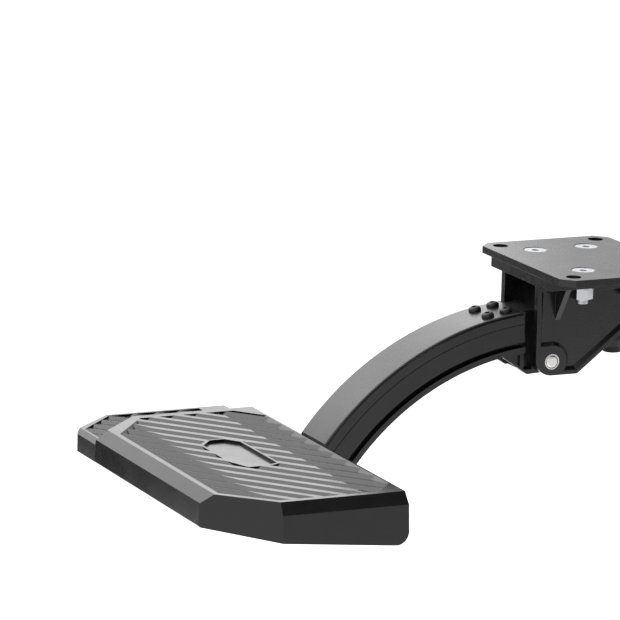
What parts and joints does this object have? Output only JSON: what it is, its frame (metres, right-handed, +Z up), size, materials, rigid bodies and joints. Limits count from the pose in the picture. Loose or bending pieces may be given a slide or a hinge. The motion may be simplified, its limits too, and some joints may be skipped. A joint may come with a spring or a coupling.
{
  "type": "retractable bed step",
  "caption": "Black fold-down step for the rear of a pickup: wide ribbed tread pad on a curved arm that swings on a pin in a bracket fixed to the frame, with a spring-plunger lock",
  "frame": {"origin": "centre of the frame plate's top face, midway between the four mounting holes", "axes": "+Z up, square to the mounting face; +Y forward along the vehicle, so the tread pad is out behind and below at -Y; +X to the vehicle's right"},
  "size_m": [0.3445, 0.4599, 0.182],
  "materials": {
    "black_steel": "satin black powder coat",
    "black_aluminium": "fine textured black powder coat",
    "steel": "bright machined",
    "zinc": "zinc plated",
    "black_screws": "black oxide",
    "rubber": "matte",
    "grip": "matte",
    "bronze": "sintered, oily"
  },
  "bodies": {
    "bracket": {"hinge_bracket": "black_steel", "frame_plate": "black_steel", "plate_bolts": "zinc", "plate_nuts": "zinc", "pivot_pin": "steel", "right_pin_sleeve": "steel", "left_pin_sleeve": "steel", "pin_retaining_ring": "zinc", "stow_bumper": "rubber", "bumper_nut": "zinc", "lock_body": "zinc", "lock_nut": "zinc"},
    "step": {"hinge_knuckle": "black_aluminium", "right_bushing": "bronze", "left_bushing": "bronze", "curved_arm": "black_aluminium", "arm_root_screws": "black_screws", "arm_foot": "black_aluminium", "foot_pins": "black_screws", "step_pad": "black_aluminium", "pad_screws": "zinc", "pad_washers": "zinc"},
    "lock": {"lock_pin": "steel", "lock_knob": "grip"}
  },
  "joints": [
    {"name": "step_hinge", "type": "hinge", "parent": "bracket", "child": "step", "pos_m": [0, -0.045, -0.078], "axis": [1, 0, 0], "range_deg": [0, 172]},
    {"name": "lock_slide", "type": "slide", "parent": "bracket", "child": "lock", "axis": [1, 0, 0], "range_m": [0, 0.009]}
  ]
}
